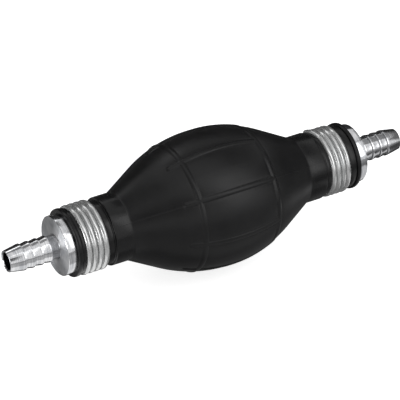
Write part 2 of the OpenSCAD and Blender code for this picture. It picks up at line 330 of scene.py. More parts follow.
@dataclass(frozen=True)
class Winding:
    """A round wire wound about the flow axis.

    Attributes:
        radius: Radius of the coil's centre line.
        wire_d: Diameter of the wire.
        start: Angle of the first end.
        turns: Number of turns.
        route: X of the centre line and its lift off the coil's radius, at an angle counted
            on from the start through every turn.
        sides: Sides of the wire's section.
        steps: Steps in each turn.
    """

    radius: float
    wire_d: float
    start: float
    turns: float
    route: Callable[[float], Span]
    sides: int = 16
    steps: int = 90

    def build(self, name: str, chamfer: float) -> Piece:
        """Wind the wire with a Screw modifier, lay it along its route and cap its ends.

        Args:
            name: Name of the piece.
            chamfer: Width of the chamfer round each end.

        Returns:
            The closed wire.
        """
        Bench.clear()
        bpy.ops.mesh.primitive_circle_add(
            vertices=self.sides,
            radius=self.wire_d / 2,
            fill_type="NOTHING",
            location=(0, self.radius, 0),
        )
        piece = Bench.rename(bpy.context.object, name)
        bpy.ops.object.transform_apply(location=True)
        piece.data.transform(Matrix.Rotation(math.radians(self.start), 4, "X"))
        count = round(self.steps * self.turns)
        screw = piece.modifiers.new("winding", "SCREW")
        screw.axis = "X"
        screw.angle = math.tau * self.turns
        screw.screw_offset = 0.0
        screw.steps = screw.render_steps = count
        screw.use_merge_vertices = False
        Bench.apply(piece, screw)
        for vertex in piece.data.vertices:
            ring = vertex.index // self.sides
            angle = self.start + 360 * self.turns * ring / count
            x, lift = self.route(angle)
            way = math.radians(angle)
            vertex.co += Vector((x, lift * math.cos(way), lift * math.sin(way)))
        Bench.cap_ends(piece, chamfer)
        Bench.smooth(piece, 50)
        return piece


# ------------------------------------------------------------------------ finishes


class NodeBoard:
    """The nodes of a new material or world, with short methods that add and join them."""

    def __init__(self, owner: bpy.types.Material | bpy.types.World, output: str) -> None:
        """Clear the owner's nodes and add its output.

        Args:
            owner: The new material or world.
            output: The type of its output node without the ShaderNode prefix.
        """
        owner.use_nodes = True
        self.owner = owner
        self.tree = owner.node_tree
        self.tree.nodes.clear()
        self.output = self.add(output)

    @staticmethod
    def of_material(name: str) -> "NodeBoard":
        """The board of a new material."""
        return NodeBoard(bpy.data.materials.new(name), "OutputMaterial")

    @staticmethod
    def of_world(name: str) -> "NodeBoard":
        """The board of a new world."""
        return NodeBoard(bpy.data.worlds.new(name), "OutputWorld")

    @property
    def here(self) -> Socket:
        """The place on the piece, in its own coordinates."""
        return self.add("TexCoord").outputs["Object"]

    def add(self, kind: str, **settings: object) -> bpy.types.Node:
        """Add a node and set its properties.

        Args:
            kind: The node's type without its ShaderNode prefix.
            **settings: Properties of the node.

        Returns:
            The node.
        """
        node = self.tree.nodes.new("ShaderNode" + kind)
        for name, value in settings.items():
            setattr(node, name, value)
        return node

    def feed(self, socket: Socket, value: object) -> None:
        """Fill a socket.

        Args:
            socket: An input of a node.
            value: The output that is linked to it, or its constant.
        """
        if isinstance(value, Socket):
            self.tree.links.new(value, socket)
        else:
            socket.default_value = value

    def in_order(self, node: bpy.types.Node, *values: object) -> Socket:
        """Fill a node's first inputs in their order.

        Args:
            node: A node of this board.
            *values: What the inputs get.

        Returns:
            The node's first output.
        """
        for socket, value in zip(node.inputs, values):
            self.feed(socket, value)
        return node.outputs[0]

    def by_name(self, node: bpy.types.Node, **values: object) -> Socket:
        """Fill some of a node's inputs by their names.

        Args:
            node: A node of this board.
            **values: What the inputs get, with an underscore for each space in a name.

        Returns:
            The node's first output.
        """
        for name, value in values.items():
            self.feed(node.inputs[name.replace("_", " ")], value)
        return node.outputs[0]

    def math(self, operation: str, *values: object) -> Socket:
        """The result of a Math node on up to three values."""
        return self.in_order(self.add("Math", operation=operation), *values)

    def blend(self, one: object, other: object, share: float) -> Socket:
        """Two values mixed, with a share of the first."""
        return self.math("MULTIPLY_ADD", one, share, self.math("MULTIPLY", other, 1 - share))

    def apart(self, vector: object) -> tuple[Socket, ...]:
        """Split a vector.

        Args:
            vector: The output that gives it.

        Returns:
            Its X, Y and Z.
        """
        node = self.add("SeparateXYZ")
        self.feed(node.inputs[0], vector)
        return tuple(node.outputs)

    def vector(self, *values: object) -> Socket:
        """Up to three values as a vector."""
        return self.in_order(self.add("CombineXYZ"), *values)

    def noise(self, vector: object, scale: float, detail: float = 2, rough: float = 0.5) -> Socket:
        """Add a noise pattern.

        Args:
            vector: The place at which the pattern is read.
            scale: Its cells in a metre.
            detail: How many finer layers it has.
            rough: How strong the finer layers are.

        Returns:
            Its value, mostly between 0.3 and 0.7.
        """
        node = self.add("TexNoise")
        return self.by_name(node, Vector=vector, Scale=scale, Detail=detail, Roughness=rough)

    def spread(self, value: object, low: float, high: float, to_low: float, to_high: float) -> Socket:
        """A value's range mapped onto another range, and held at its ends."""
        return self.in_order(self.add("MapRange", clamp=True), value, low, high, to_low, to_high)

    def ramp(self, value: object, dark: Colour, light: Colour, low: float, high: float) -> Socket:
        """Blend from one colour to another.

        Args:
            value: What the blend follows.
            dark: Colour at the low value and below it.
            light: Colour at the high value and above it.
            low: The low value.
            high: The high value.

        Returns:
            The colour.
        """
        node = self.add("ValToRGB")
        first, last = node.color_ramp.elements
        first.position, first.color = low, (*dark, 1)
        last.position, last.color = high, (*light, 1)
        return self.in_order(node, value)

    def bump(self, height: object, distance: float, strength: float, below: object = None) -> Socket:
        """Add a bump.

        Args:
            height: The pattern of the bump.
            distance: Its full height.
            strength: The share of it that shows.
            below: The bump that it lies on.

        Returns:
            The normal.
        """
        node = self.add("Bump")
        if below is not None:
            self.feed(node.inputs["Normal"], below)
        return self.by_name(node, Height=height, Distance=distance, Strength=strength)

    def show(self, shader: Socket) -> None:
        """Put a shader on the surface."""
        self.feed(self.output.inputs["Surface"], shader)

    def finish(self, **values: object) -> bpy.types.Material:
        """Add the surface shader and show it.

        Args:
            **values: What its inputs get, by their names.

        Returns:
            The material.
        """
        self.show(self.by_name(self.add("BsdfPrincipled"), **values))
        return self.owner


@dataclass(frozen=True)
class MouldedRubber:
    """Moulded black rubber: satin, faintly mottled, with a fine orange-peel skin.

    Attributes:
        name: Name of the material.
        dark: Colour of the body.
        light: Colour of the faint paler mottling.
        gloss: Specular level.
        roughness: Lowest and highest roughness.
        mottles: Mottles in a metre.
        clouds: Wider clouds of wear in a metre.
        waves: Soft waves of the skin in a metre.
        grains: Grains of its orange peel in a metre.
        wave_h: Height of the waves.
        grain_h: Height of the grains.
        necks_from: Distance from the middle beyond which the skin is smoother.
        neck_polish: How much smoother it is there.
        neck_step: Width over which it gets smoother.
    """

    name: str
    dark: Colour = (0.0048, 0.0048, 0.0052)
    light: Colour = (0.0088, 0.0088, 0.0092)
    gloss: float = 0.26
    roughness: Span = (0.3, 0.43)
    mottles: float = 90
    clouds: float = 28
    waves: float = 320
    grains: float = 2600
    wave_h: float = 0.05 * MM
    grain_h: float = 0.02 * MM
    necks_from: float = 35.5 * MM
    neck_polish: float = 0.13
    neck_step: float = 2 * MM

    def material(self) -> bpy.types.Material:
        """Build the material.

        Returns:
            The new material.
        """
        board = NodeBoard.of_material(self.name)
        mottle = board.noise(board.here, self.mottles, detail=5, rough=0.62)
        waves = board.bump(board.noise(board.here, self.waves), self.wave_h, strength=0.5)
        grains = board.noise(board.here, self.grains)
        wear = board.blend(mottle, board.noise(board.here, self.clouds), share=0.5)
        rough = board.spread(wear, 0.35, 0.65, *self.roughness)
        away = board.math("ABSOLUTE", board.apart(board.here)[0])
        neck_a = self.necks_from + self.neck_step
        polish = board.spread(away, self.necks_from, neck_a, 0.0, self.neck_polish)
        return board.finish(
            Base_Color=board.ramp(mottle, self.dark, self.light, low=0.35, high=0.72),
            Roughness=board.math("SUBTRACT", rough, polish),
            Specular_IOR_Level=self.gloss,
            Normal=board.bump(grains, self.grain_h, strength=0.55, below=waves),
        )


@dataclass(frozen=True)
class Root:
    """Painted shade on the plain root behind a fitting's barbs: its colour is made darker than
    theirs.

    Attributes:
        radius: Radius of the root.
        reach: Distance from the middle at which it ends at the last barb.
        step: Half the width of the change from root to barb.
        rise: Heights above the root over which the painted contact shadow on the flange's face fades
            out.
        tone: Brightness of the painted shade on the root, as a share of the unshaded metal's.
    """

    radius: float
    reach: float
    step: float = 0.1 * MM
    rise: Span = (0.05 * MM, 0.6 * MM)
    tone: float = 0.6

    def shade(self, board: NodeBoard, x: object, radius: object) -> Socket:
        """The painted shade that the root gives a place on the fitting.

        Args:
            board: The board of the material.
            x: The place along the axis.
            radius: Its distance from the axis.

        Returns:
            The share of the unshaded metal's brightness.
        """
        # Painted shade: the root's colour is darkened, with a painted contact shadow on the flange's
        # face round it.
        away = board.math("ABSOLUTE", x)
        past = board.spread(away, self.reach - self.step, self.reach + self.step, self.tone, 1.0)
        low, high = (self.radius + rise for rise in self.rise)
        return board.math("MAXIMUM", past, board.spread(radius, low, high, self.tone, 1.0))


@dataclass(frozen=True)
class TurnedMetal:
    """Metal turned on a lathe: fine rings round the axis on tubes and faces alike.

    Attributes:
        name: Name of the material.
        bright: Colour of the clean metal.
        dull: Colour of its duller streaks.
        roughness: Highest and lowest roughness, of the dull and the clean metal.
        ring_step: Spacing of the coarser tool rings.
        ring_depth: Depth of the tool rings.
        drawn: Share of Y and Z that the streaks follow, so that they run round the axis.
        smudges: Smudges in a metre.
        nicks: Fine nicks in a metre.
        brushing: How much the rings stretch reflections across them.
        faced: How much rougher a face square to the axis is, and how much darker its colour is
            painted, as shade.
        bore_r: Radius of the drilled bore, inside which the colour is darkened as painted shade.
        bore_step: Distances from the bore's wall over which the painted shade fades out.
        bore_tone: Brightness of the painted shade in the bore, as a share of the unshaded metal's.
        root: The painted shade on the plain root, if the piece has one.
    """

    name: str
    bright: Colour
    dull: Colour
    roughness: Span = (0.23, 0.09)
    ring_step: float = 0.22 * MM
    ring_depth: float = 0.007 * MM
    drawn: float = 0.06
    smudges: float = 260
    nicks: float = 1500
    brushing: float = 0.88
    faced: float = 0.3
    bore_r: float = 0.0
    bore_step: Span = (0.1 * MM, 0.3 * MM)
    bore_tone: float = 0.16
    root: Root | None = None

    def wear(self, board: NodeBoard, x: object, radius: object) -> Socket:
        """How bright the metal's colour is left at a place: painted shade in the bore and on the
        root.

        Args:
            board: The board of the material.
            x: The place along the axis.
            radius: Its distance from the axis.

        Returns:
            The share of the unshaded metal's brightness.
        """
        # Painted shade: the colour darkens towards the bore and inside it.
        low, high = (self.bore_r + step for step in self.bore_step)
        clean = board.spread(radius, low, high, self.bore_tone, 1.0)
        if self.root is None:
            return clean
        return board.math("MULTIPLY", clean, self.root.shade(board, x, radius))

    def material(self) -> bpy.types.Material:
        """Build the material.

        Returns:
            The new material.
        """
        board = NodeBoard.of_material(self.name)
        x, y, z = board.apart(board.here)
        radius = board.math("SQRT", board.math("MULTIPLY_ADD", y, y, board.math("MULTIPLY", z, z)))
        around = board.vector(x, *(board.math("MULTIPLY", side, self.drawn) for side in (y, z)))
        fine = board.noise(board.vector(x, radius), 0.7 / self.ring_step, detail=3, rough=0.7)
        streaks = board.noise(around, 0.5 / self.ring_step)
        smudge = board.noise(board.here, self.smudges, detail=4, rough=0.6)
        tone = board.blend(streaks, smudge, share=0.55)
        rings = board.bump(fine, self.ring_depth, strength=0.8)
        nicks = board.noise(board.here, self.nicks)
        facing = board.math("ABSOLUTE", board.apart(board.add("NewGeometry").outputs["Normal"])[0])
        # Faces square to the axis get a rougher faced finish, and also a darker colour that is
        # painted shade.
        face_dulling_and_shade = board.spread(facing, 0.8, 0.98, 0.0, self.faced)
        sheen = board.math("SUBTRACT", board.spread(tone, 0.36, 0.62, 0.0, 1.0), face_dulling_and_shade)
        colour = board.by_name(
            board.add("VectorMath", operation="SCALE"),
            Vector=board.ramp(sheen, self.dull, self.bright, low=0.0, high=1.0),
            Scale=self.wear(board, x, radius),
        )
        return board.finish(
            Base_Color=colour,
            Metallic=1.0,
            Roughness=board.math("ADD", board.spread(tone, 0.32, 0.68, *self.roughness), face_dulling_and_shade),
            Anisotropic=self.brushing,
            Anisotropic_Rotation=0.25,
            Tangent=board.add("Tangent", direction_type="RADIAL", axis="X").outputs[0],
            Normal=board.bump(nicks, self.ring_depth, strength=0.35, below=rings),
        )


@dataclass(frozen=True)
class GalvanisedWire:
    """Zinc-coated wire: bright, with the faint blotches and drag lines of its coating.

    Attributes:
        name: Name of the material.
        bright: Colour of the clean zinc.
        dull: Colour of its greyer blotches.
        metal: How much of the coating shines as clean metal does.
        roughness: Highest and lowest roughness, of the dull and the clean zinc.
        blotches: Blotches in a metre.
        drags: Drag lines in a metre.
        drawn: How much finer the drag lines are across the winding than round it.
        blotch_h: Height of the blotches.
        drag_h: Height of the drag lines.
    """

    name: str
    bright: Colour = (0.68, 0.68, 0.68)
    dull: Colour = (0.47, 0.48, 0.48)
    metal: float = 0.75
    roughness: Span = (0.3, 0.2)
    blotches: float = 450
    drags: float = 130
    drawn: float = 14
    blotch_h: float = 0.005 * MM
    drag_h: float = 0.008 * MM

    def material(self) -> bpy.types.Material:
        """Build the material.

        Returns:
            The new material.
        """
        board = NodeBoard.of_material(self.name)
        x, y, z = board.apart(board.here)
        along = board.vector(board.math("MULTIPLY", x, self.drawn), y, z)
        blotch = board.noise(board.here, self.blotches)
        drag = board.noise(along, self.drags, detail=1)
        tone = board.blend(blotch, drag, share=0.4)
        uneven = board.bump(blotch, self.blotch_h, strength=0.5)
        return board.finish(
            Base_Color=board.ramp(tone, self.dull, self.bright, low=0.34, high=0.62),
            Metallic=self.metal,
            Roughness=board.spread(tone, 0.36, 0.64, *self.roughness),
            Normal=board.bump(drag, self.drag_h, strength=0.6, below=uneven),
        )


class Finish(Enum):
    """The finishes of the pump, each with the record's slot that it stands for."""

    BULB_RUBBER = "bulb_rubber"
    SEAL_RUBBER = "seal_rubber"
    ALUMINIUM = "fitting_aluminium"
    ZINC_WIRE = "clamp_wire"
    BRASS = "valve_brass"
    SPRING_STEEL = "spring_steel"

    def recipe(self) -> MouldedRubber | TurnedMetal | GalvanisedWire:
        """Look up how this finish is made.

        Returns:
            The recipe of its material.
        """
        recipes = {
            Finish.BULB_RUBBER: MouldedRubber("moulded_black_rubber"),
            Finish.SEAL_RUBBER: MouldedRubber(
                "smooth_black_rubber",
                dark=(0.0045, 0.0045, 0.0050),
                light=(0.0075, 0.0075, 0.0080),
                roughness=(0.36, 0.5),
            ),
            Finish.ALUMINIUM: TurnedMetal(
                "turned_aluminium",
                bright=(0.70, 0.70, 0.71),
                dull=(0.44, 0.45, 0.47),
                # Painted shade inside the bore.
                bore_r=HoseTail.bore_r,
                # Painted shade on the root behind the barbs.
                root=Root(radius=HoseTail.root_r, reach=63.4 * MM),
            ),
            Finish.ZINC_WIRE: GalvanisedWire("galvanised_wire"),
            Finish.BRASS: TurnedMetal(
                "turned_brass", bright=(0.86, 0.68, 0.36), dull=(0.58, 0.42, 0.19)
            ),
            Finish.SPRING_STEEL: TurnedMetal(
                "spring_steel",
                bright=(0.64, 0.64, 0.65),
                dull=(0.38, 0.38, 0.39),
                ring_depth=0.004 * MM,
                brushing=0.0,
            ),
        }
        return recipes[self]


class PaintBench:
    """Mixes each finish once and puts it on pieces."""

    def __init__(self) -> None:
        """Start with no finish mixed."""
        self.made: dict[Finish, bpy.types.Material] = {}

    def mixed(self, finish: Finish) -> bpy.types.Material:
        """The material of a finish, mixed when it is first asked for.

        Args:
            finish: The finish.

        Returns:
            Its material.
        """
        if finish not in self.made:
            self.made[finish] = finish.recipe().material()
        return self.made[finish]

    def done(self, piece: Piece, stands_for: str, finish: Finish, body: Body) -> None:
        """Coat a new piece, put it on its body in a node's place, and report it.

        Args:
            piece: The finished piece.
            stands_for: The node of the frame that it replaces.
            finish: Its finish.
            body: The body that it rides on.
        """
        piece.data.materials.append(self.mixed(finish))
        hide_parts(stands_for)
        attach(piece, body.value)
        LOG.info("%s: %d faces, rides on %s", piece.name, len(piece.data.polygons), body.value)

    def repaint(self, node: Piece, finish: Finish) -> None:
        """Give a node of the frame that stays its finish, through its material slots.

        Args:
            node: The node.
            finish: Its finish.
        """
        for slot in node.material_slots:
            slot.material = self.mixed(finish)
        LOG.info("%s: stays, painted %s", node.name, finish.value)


# ------------------------------------------------------------------------ bulb


@dataclass(frozen=True)
class WireSeat:
    """The seat of the wire on one neck, which differs a little from end to end.

    Attributes:
        first: Distance from the middle to the seat's shoulder on the belly side.
        last: Distance from the middle to its shoulder on the lip side.
        lip_r: Radius of the lip beyond it.
        wire_d: Diameter of the wire that fills it.
        start: Angle of the wire's first end: in sight at the outlet, behind at the inlet.
        bent: Whether that end is bent towards the belly.
    """

    first: float
    last: float
    lip_r: float
    wire_d: float
    start: float
    bent: bool

    @staticmethod
    def of(end: End) -> "WireSeat":
        """Look up the wire seat of an end.

        Args:
            end: The end of the pump.

        Returns:
            Its wire seat.
        """
        if end is End.INLET:
            return WireSeat(45.2 * MM, 54.05 * MM, 12.0 * MM, 2.18 * MM, start=28, bent=False)
        return WireSeat(44.55 * MM, 52.65 * MM, 11.8 * MM, 2.0 * MM, start=52, bent=True)


@dataclass
class Bulb:
    """The rubber moulding: belly with raised ribs, shoulders, necks, collars and lips.

    Attributes:
        belly_r: Largest radius of the belly.
        belly_half: Distance from the middle to where the belly's cone meets the neck.
        fullness: Lengthwise radius of the belly, as a share of one arc from neck to neck.
        wall: Thickness of the rubber.
        neck_r: Radius of the plain neck.
        neck_end: Distance from the middle to the end of the plain neck.
        neck_edge: Rounding of that end.
        shoulder_r: Radius of the hollow between belly and neck.
        collar_r: Radius of the lower band between neck and wire.
        soft: Rounding of the collar's and the lip's edges.
        groove: Width and depth of the soft groove between neck and collar.
        groove_side: Width of the groove's side next to the neck.
        wire_seat_r: Radius of the seat under the wire.
        lip_end: Distance from the middle to the end of the lip.
        bore_r: Radius of the neck's bore.
        rings: X of the two ring ribs.
        rib_end_x: X where the lengthwise ribs end beyond the inlet ring.
        rib_count: Number of lengthwise ribs.
        rib_turn: Angle of the first rib.
        rib_half_w: Half the width of a rib.
        rib_h: Height of a rib.
        rib_power: Power of the cosine that rounds a rib; below 1 it is fuller.
        ring_slope: Slope of the skin at the rings, as a share of the cone's.
        end_slope: Slope of the skin where the lengthwise ribs end, as such a share.
        crease_w: Width of the fine crease on each side of a rib.
        crease_h: Depth of the crease.
        seam_half_w: Half the width of the moulding's parting line.
        seam_h: Height of the parting line.
        seam_rib: Number of the rib that the parting line runs along.
    """

    belly_r: float = 25 * MM
    belly_half: float = 35.7 * MM
    fullness: float = 0.88
    wall: float = 4 * MM
    neck_r: float = 12.4 * MM
    neck_end: float = 42.5 * MM
    neck_edge: float = 0.4 * MM
    shoulder_r: float = 2 * MM
    collar_r: float = 11.7 * MM
    soft: float = 0.3 * MM
    groove: Span = (0.8 * MM, 0.22 * MM)
    groove_side: float = 0.15 * MM
    wire_seat_r: float = 10.4 * MM
    lip_end: float = 55.35 * MM
    bore_r: float = 8.05 * MM
    rings: Span = (-13.6 * MM, 16.6 * MM)
    rib_end_x: float = -18.2 * MM
    rib_count: int = 9
    rib_turn: float = 24.1
    rib_half_w: float = 0.96 * MM
    rib_h: float = 0.3 * MM
    rib_power: float = 0.8
    ring_slope: float = 0.6
    end_slope: float = 0.7
    crease_w: float = 0.35 * MM
    crease_h: float = 0.07 * MM
    seam_half_w: float = 0.22 * MM
    seam_h: float = 0.06 * MM
    seam_rib: int = 3

    @property
    def arc_r(self) -> float:
        """Lengthwise radius of the belly."""
        rise = self.belly_r - self.neck_r
        return self.fullness * (self.belly_half**2 + rise**2) / (2 * rise)

    @property
    def arc_y(self) -> float:
        """Radius at which the centre of the belly's arc lies."""
        return self.belly_r - self.arc_r

    @property
    def cone(self) -> float:
        """Angle of the straight cone between the belly's arc and the neck.

        Returns:
            The angle in radians.
        """
        rise = self.neck_r - self.arc_y
        reach = math.hypot(self.belly_half, rise)
        return math.atan2(self.belly_half, rise) - math.acos(self.arc_r / reach)

    def belly_points(self, arc_r: float, end_r: float, places: list[float]) -> list[Vector]:
        """Points of the belly's arc from the inlet cone to the outlet cone.

        Args:
            arc_r: Lengthwise radius of this skin.
            end_r: Radius at which each cone ends.
            places: X of the points on the arc.

        Returns:
            The points, with one at each cone's end.
        """
        arc_a = arc_r * math.sin(self.cone)
        cone_r = self.arc_y + arc_r * math.cos(self.cone)
        end_a = arc_a + (cone_r - end_r) / math.tan(self.cone)
        clear_a = arc_a - 0.1 * MM
        rows = [-arc_a, *(x for x in places if abs(x) < clear_a), arc_a]
        arc = [Vector((x, self.arc_y + math.sqrt(arc_r**2 - x**2))) for x in rows]
        return [Vector((-end_a, end_r)), *arc, Vector((end_a, end_r))]

    def belly_places(self) -> list[float]:
        """Choose the belly's rows: fine at the rings and the rib ends, wider elsewhere.

        Returns:
            The X of each row, in order.
        """
        fine, coarse = 0.24 * MM, 1.0 * MM
        reach = 1.5 * MM
        centres = (*self.rings, self.rib_end_x)
        steps = round(reach / fine)
        rows = [centre + k * fine for centre in centres for k in range(-steps, steps + 1)]
        x = -self.belly_half
        while x < self.belly_half:
            if all(abs(x - centre) > reach + coarse / 2 for centre in centres):
                rows.append(x)
            x += coarse
        return sorted(rows)

    def neck_points(self, end: End, steps: int = 6) -> list[Vector]:
        """Points of one neck's outside and end, from the belly's cone to the lip's bore.

        Args:
            end: The end of the pump.
            steps: Edges in the hollow of the shoulder.

        Returns:
            The points, as distances from the middle and radii.
        """
        f = self.shoulder_r
        centre_a = self.belly_half + f * math.tan(self.cone / 2)
        hollow = [
            Vector((centre_a - f * math.sin(t), self.neck_r + f * (1 - math.cos(t))))
            for t in (self.cone * (steps - k) / steps for k in range(steps + 1))
        ]
        seat = WireSeat.of(end)
        groove_w, groove_h = self.groove
        corners = [
            Corner(self.belly_half, self.neck_r),
            Corner(self.neck_end, self.neck_r, self.neck_edge),
            Corner(self.neck_end + self.groove_side, self.collar_r - groove_h, self.soft),
            Corner(self.neck_end + groove_w, self.collar_r, self.soft),
            Corner(seat.first, self.collar_r, self.soft),
            Corner(seat.first, self.wire_seat_r, FINE_EDGE),
            Corner(seat.last, self.wire_seat_r, FINE_EDGE),
            Corner(seat.last, seat.lip_r, self.soft),
            Corner(self.lip_end, seat.lip_r, self.soft),
            Corner(self.lip_end, self.bore_r),
        ]
        return hollow + filleted(corners)[1:]

    def section(self) -> list[Vector]:
        """Draw the closed section of the whole moulding.

        Returns:
            Its points, from the inlet's lip along the outside and back inside.
        """
        places = self.belly_places()
        inlet = [Vector((-p.x, p.y)) for p in reversed(self.neck_points(End.INLET))]
        outer = self.belly_points(self.arc_r, self.neck_r, places)[1:-1]
        inner = self.belly_points(self.arc_r - self.wall, self.bore_r, places[::4])
        return [*inlet, *outer, *self.neck_points(End.OUTLET), *reversed(inner)]

    def sweeps(self) -> list[Sweep]:
        """Part the spin into stretches: fine at each rib and half way between ribs.

        Returns:
            The stretches of the full turn.
        """
        rib_degrees, seam_degrees = 6.6, 1.6
        plain = Sweep((360 / self.rib_count - rib_degrees - seam_degrees) / 2, 6)
        half_rib = Sweep(rib_degrees / 2, 7)
        seam = Sweep(seam_degrees, 6)
        return [half_rib, plain, seam, plain, half_rib] * self.rib_count

    def ridge(self, away: float) -> float:
        """Work out the height of a rib's section, with the crease beside it.

        Args:
            away: Distance from the rib's middle line.

        Returns:
            The height above the smooth skin, which is below zero in the crease.
        """
        if away < self.rib_half_w:
            return self.rib_h * math.cos(math.pi / 2 * away / self.rib_half_w) ** self.rib_power
        if away < self.rib_half_w + self.crease_w:
            return -self.crease_h * math.sin(math.pi * (away - self.rib_half_w) / self.crease_w)
        return 0.0

    def relief(self, co: Vector) -> float:
        """Work out the height of ribs, creases and parting line.

        Args:
            co: A point of the smooth moulding.

        Returns:
            The height above the smooth skin at this point.
        """
        radius = math.hypot(co.y, co.z)
        angle = math.degrees(math.atan2(co.z, co.y)) - self.rib_turn
        sector = 360 / self.rib_count
        off_rib = (angle + sector / 2) % sector - sector / 2
        across = abs(math.radians(off_rib)) * radius
        beyond = max(self.rib_end_x - co.x, co.x - self.rings[1], 0.0)
        beyond /= math.cos(self.cone * self.end_slope)
        slope = math.cos(self.cone * self.ring_slope)
        heights = [self.ridge(math.hypot(across, beyond))]
        heights += [self.ridge(abs(co.x - x) / slope) for x in self.rings]
        top, bottom = max(heights), min(heights)
        height = top if top > 0 else bottom
        off_seam = (angle - self.seam_rib * sector + 90) % 180 - 90
        seam = 1 - abs(math.radians(off_seam)) * radius / self.seam_half_w
        return max(height, height + self.seam_h * seam) if seam > 0 else height

    def raise_relief(self, piece: Piece) -> None:
        """Push the ribs out of the smooth skin, and the creases in, by weighted displacement.

        Args:
            piece: The smooth moulding.
        """
        outside = self.neck_r - 0.02 * MM
        end = self.neck_end - self.neck_edge
        heights = {}
        for vertex in piece.data.vertices:
            co = vertex.co
            radius = math.hypot(co.y, co.z)
            skin = self.arc_y + math.sqrt(max(self.arc_r**2 - co.x**2, 0))
            if radius > outside and abs(co.x) < end and radius > skin - self.wall / 2:
                heights[vertex.index] = self.relief(co)
        for label, sign, most in (("ribs", 1, self.rib_h), ("creases", -1, self.crease_h)):
            group = piece.vertex_groups.new(name=label)
            for index, height in heights.items():
                if sign * height > 0:
                    group.add([index], min(sign * height / most, 1.0), "REPLACE")
            push = piece.modifiers.new(label, "DISPLACE")
            push.vertex_group = label
            push.mid_level = 0.0
            push.strength = sign * most
        for push in list(piece.modifiers):
            Bench.apply(piece, push)
        piece.vertex_groups.clear()

    def build(self) -> Piece:
        """Turn the moulding and raise its ribs.

        Returns:
            The moulding.
        """
        piece = spun("bulb_moulding", self.section(), self.sweeps(), start=self.rib_turn)
        self.raise_relief(piece)
        Bench.smooth(piece, 50)
        return piece


@dataclass
class NeckDressing:
    """What is wound on one neck and lies against its lip: the wire clamp and the gasket.

    Attributes:
        end: The end of the pump.
        wire_r: Radius of the winding's centre line.
        passes: Turns that lie side by side.
        hidden: Angles between which the turns step sideways and the last end lies.
        over: How far the wire's last end runs on into the hidden angles.
        play: Gap between the winding and the seat's shoulders.
        bend_turn: Angle over which a bent end leaves the winding.
        bend_side: How far it is bent to the side.
        bend_lift: How far it rides up over the collar.
        bend_early: How much sooner it rises than it moves to the side.
        cut: Chamfer of the wire's cut ends.
        gasket_a: First and last distance of the gasket from the middle.
        gasket_r: Outer radius of the gasket.
        bulge: How far its rim is squeezed out between its faces.
        bore_r: Inner radius of the gasket.
    """

    end: End
    wire_r: float = 11.52 * MM
    passes: int = 4
    hidden: Span = (253.0, 393.0)
    over: float = 14.0
    play: float = 0.03 * MM
    bend_turn: float = 40.0
    bend_side: float = 0.7 * MM
    bend_lift: float = 0.35 * MM
    bend_early: float = 1.6
    cut: float = 0.2 * MM
    gasket_a: Span = (Bulb.lip_end, 56.95 * MM)
    gasket_r: float = 12.35 * MM
    bulge: float = 0.1 * MM
    bore_r: float = Bulb.bore_r

    def wire_route(self, angle: float) -> Span:
        """Find where the wire runs: square to the axis in front, stepping sideways at the back.

        A bent first end rides up over the collar before it comes down into the seat.

        Args:
            angle: Angle counted on through every turn.

        Returns:
            The X of the centre line and its lift off the winding.
        """
        seat = WireSeat.of(self.end)
        inset = seat.wire_d / 2 + self.play
        first, last = seat.first + inset, seat.last - inset
        pitch = (last - first) / (self.passes - 1)
        low, high = self.hidden
        turn, within = divmod(angle - low, 360)
        distance = first + pitch * (turn + smooth_step(within / (high - low)))
        if not seat.bent:
            return self.end.place(distance), 0.0
        bend = 1 - smooth_step((angle - seat.start) / self.bend_turn)
        lift = self.bend_lift * smooth_step(bend * self.bend_early)
        return self.end.place(distance - self.bend_side * bend), lift

    def wire_clamp(self) -> Piece:
        """Wind the wire clamp.

        Returns:
            The wire.
        """
        seat = WireSeat.of(self.end)
        last = self.hidden[0] + 360 * (self.passes - 1) + self.over
        turns = (last - seat.start) / 360
        winding = Winding(self.wire_r, seat.wire_d, seat.start, turns, self.wire_route)
        return winding.build(self.end.node("wire_winding"), chamfer=self.cut)

    def gasket(self) -> Piece:
        """Turn the gasket, squeezed out round its rim.

        Returns:
            The gasket.
        """
        first, last = (self.end.place(a) for a in self.gasket_a)
        crisp, soft = 0.25 * MM, 0.5 * MM
        corners = [
            Corner(first, self.bore_r),
            Corner(first, self.gasket_r - self.bulge, crisp),
            Corner((first + last) / 2, self.gasket_r, soft),
            Corner(last, self.gasket_r - self.bulge, soft),
            Corner(last, self.bore_r),
        ]
        return turned(self.end.node("flat_gasket"), corners, steps=144, crease=35)


# ------------------------------------------------------------------------ fittings


